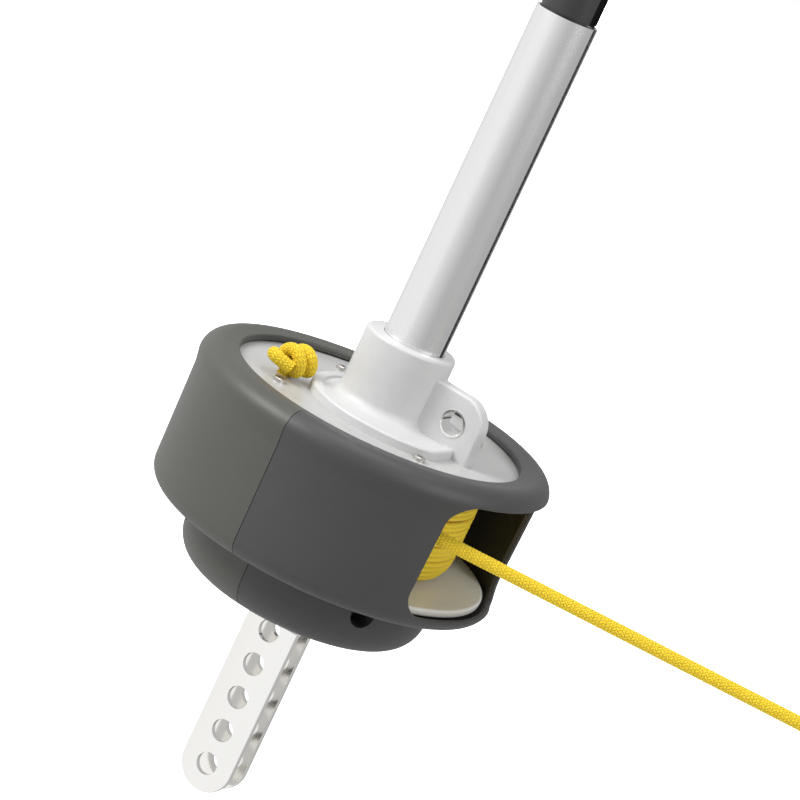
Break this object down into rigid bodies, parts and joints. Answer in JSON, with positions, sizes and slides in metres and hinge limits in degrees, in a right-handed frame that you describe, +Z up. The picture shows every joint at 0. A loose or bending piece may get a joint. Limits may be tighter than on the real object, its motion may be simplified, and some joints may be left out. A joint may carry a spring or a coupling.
{
  "type": "roller furler",
  "caption": "Headsail roller furler: line drum in a round housing with a side window, foil socket with tack ear, foil stub and perforated link plates.",
  "frame": {"origin": "centre of the lowest pin hole, midway between the two link plates", "axes": "+Z up the stay, +X aft to the tack ear and the housing's window, +Y starboard, along the clevis pin"},
  "size_m": [0.3391, 0.1662, 0.4112],
  "materials": {
    "housing_plastic": "fine moulded grain, dark grey",
    "cast_alloy": "light grey satin coat on a casting",
    "flange_plastic": "warm light grey, satin",
    "cover_plate": "satin, warm light grey",
    "anodised_foil": "satin silver anodised extrusion",
    "polished_stainless": "polished",
    "stainless": "turned",
    "joiner_plastic": "black moulded",
    "ball_plastic": "natural bearing plastic",
    "furling_line": "braided, bright yellow"
  },
  "bodies": {
    "frame": {"link_plate_port": "polished_stainless", "link_plate_starboard": "polished_stainless", "lower_yoke": "cast_alloy", "link_screws": "stainless", "axle_tube": "stainless", "axle_set_screws": "stainless", "axle_circlip": "stainless", "lower_inner_race": "stainless", "upper_inner_race": "stainless", "race_spacer": "ball_plastic", "housing_aft": "housing_plastic", "housing_fore": "housing_plastic", "housing_screws": "stainless", "furling_line": "furling_line", "line_end_knot": "furling_line"},
    "spool": {"spool_hub": "flange_plastic", "lower_flange": "flange_plastic", "upper_flange": "flange_plastic", "top_plate": "cover_plate", "top_plate_screws": "stainless", "spool_bolts": "stainless", "lower_outer_race": "stainless", "upper_outer_race": "stainless", "foil_socket": "cast_alloy", "tack_bush": "polished_stainless", "foil_clamp_screws": "stainless", "foil_section": "anodised_foil", "stay_bush": "joiner_plastic", "foil_joiner": "joiner_plastic", "joiner_screws": "stainless", "line_winding": "furling_line", "stopper_knot": "furling_line"},
    "lower_cage": {"lower_ball_cage": "ball_plastic", "lower_balls": "ball_plastic"},
    "upper_cage": {"upper_ball_cage": "ball_plastic", "upper_balls": "ball_plastic"}
  },
  "joints": [
    {"name": "spool_spin", "type": "hinge", "parent": "frame", "child": "spool", "pos_m": [0, 0, 0.15], "axis": [0, 0, 1], "continuous": true},
    {"name": "lower_cage_spin", "type": "hinge", "parent": "frame", "child": "lower_cage", "pos_m": [0, 0, 0.1315], "axis": [0, 0, 1], "continuous": true},
    {"name": "upper_cage_spin", "type": "hinge", "parent": "frame", "child": "upper_cage", "pos_m": [0, 0, 0.1655], "axis": [0, 0, 1], "continuous": true}
  ],
  "couplings": [
    {"joint": "lower_cage_spin", "follows": "spool_spin", "ratio": 0.578},
    {"joint": "upper_cage_spin", "follows": "spool_spin", "ratio": 0.578}
  ]
}
